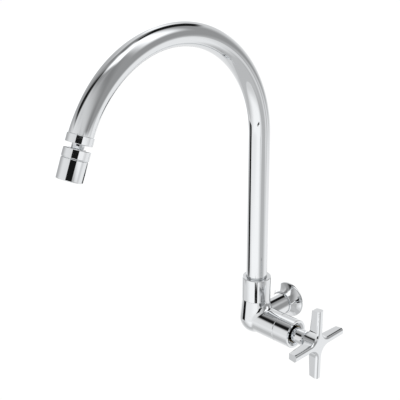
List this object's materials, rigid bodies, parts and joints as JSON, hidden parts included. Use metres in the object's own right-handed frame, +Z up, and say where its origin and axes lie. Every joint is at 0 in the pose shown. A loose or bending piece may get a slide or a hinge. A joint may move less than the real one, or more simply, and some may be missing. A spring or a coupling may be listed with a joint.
{
  "type": "wall faucet",
  "caption": "Chrome wall-mounted kitchen faucet with a tall swivelling gooseneck spout, a tilting ball-joint aerator and a cross handle on a side valve barrel",
  "frame": {"origin": "centre of the water inlet on the wall plane", "axes": "+Y into the wall along the inlet, +X along the valve barrel to the handle, +Z up the riser"},
  "size_m": [0.1093, 0.31, 0.372],
  "materials": {
    "polished_chrome": "polished chrome plating on brass",
    "turned_brass": "turned brass, unplated",
    "black_rubber": "smooth moulded rubber",
    "white_ceramic": "lapped alumina",
    "white_plastic": "moulded acetal",
    "grey_plastic": "moulded acetal",
    "bright_steel": "bright stainless steel",
    "tube_chrome": "polished chrome plating on brass tube"
  },
  "bodies": {
    "valve_body": {"faucet_body": "polished_chrome", "wall_flange": "polished_chrome", "flange_o_ring": "black_rubber", "spout_collar": "polished_chrome", "glide_washer": "white_plastic", "spout_bushing": "white_plastic", "bonnet_sleeve": "polished_chrome", "cartridge_housing": "turned_brass", "cartridge_o_ring": "black_rubber", "seat_seal": "black_rubber", "fixed_disc": "white_ceramic"},
    "spout": {"spout_foot": "turned_brass", "spout_o_ring_lower": "black_rubber", "spout_o_ring_upper": "black_rubber", "spout_tube": "tube_chrome", "outlet_adapter": "turned_brass", "outlet_washer": "black_rubber", "outlet_nut": "polished_chrome"},
    "handle": {"valve_spindle": "turned_brass", "moving_disc": "white_ceramic", "spindle_o_ring_inner": "black_rubber", "spindle_o_ring_outer": "black_rubber", "spindle_clip": "bright_steel", "handle_cross": "polished_chrome", "handle_grub_screw": "bright_steel"},
    "aerator_stem": {"ball_stem": "polished_chrome"},
    "aerator_head": {"swivel_cap": "polished_chrome", "ball_seal": "black_rubber", "aerator_sleeve": "polished_chrome", "aerator_insert": "grey_plastic", "aerator_screen": "bright_steel"}
  },
  "joints": [
    {"name": "spout_swivel", "type": "hinge", "parent": "valve_body", "child": "spout", "pos_m": [0, -0.057, 0], "axis": [0, 0, 1], "range_deg": [-100, 100]},
    {"name": "handle_turn", "type": "hinge", "parent": "valve_body", "child": "handle", "pos_m": [0, -0.057, 0], "axis": [1, 0, 0], "range_deg": [0, 90]},
    {"name": "aerator_swivel", "type": "hinge", "parent": "spout", "child": "aerator_stem", "pos_m": [0, -0.27748, 0.25086], "axis": [0, -0.3827, -0.9239], "continuous": true},
    {"name": "aerator_tilt", "type": "hinge", "parent": "aerator_stem", "child": "aerator_head", "pos_m": [0, -0.28322, 0.237], "axis": [1, 0, 0], "range_deg": [-15, 15]}
  ]
}
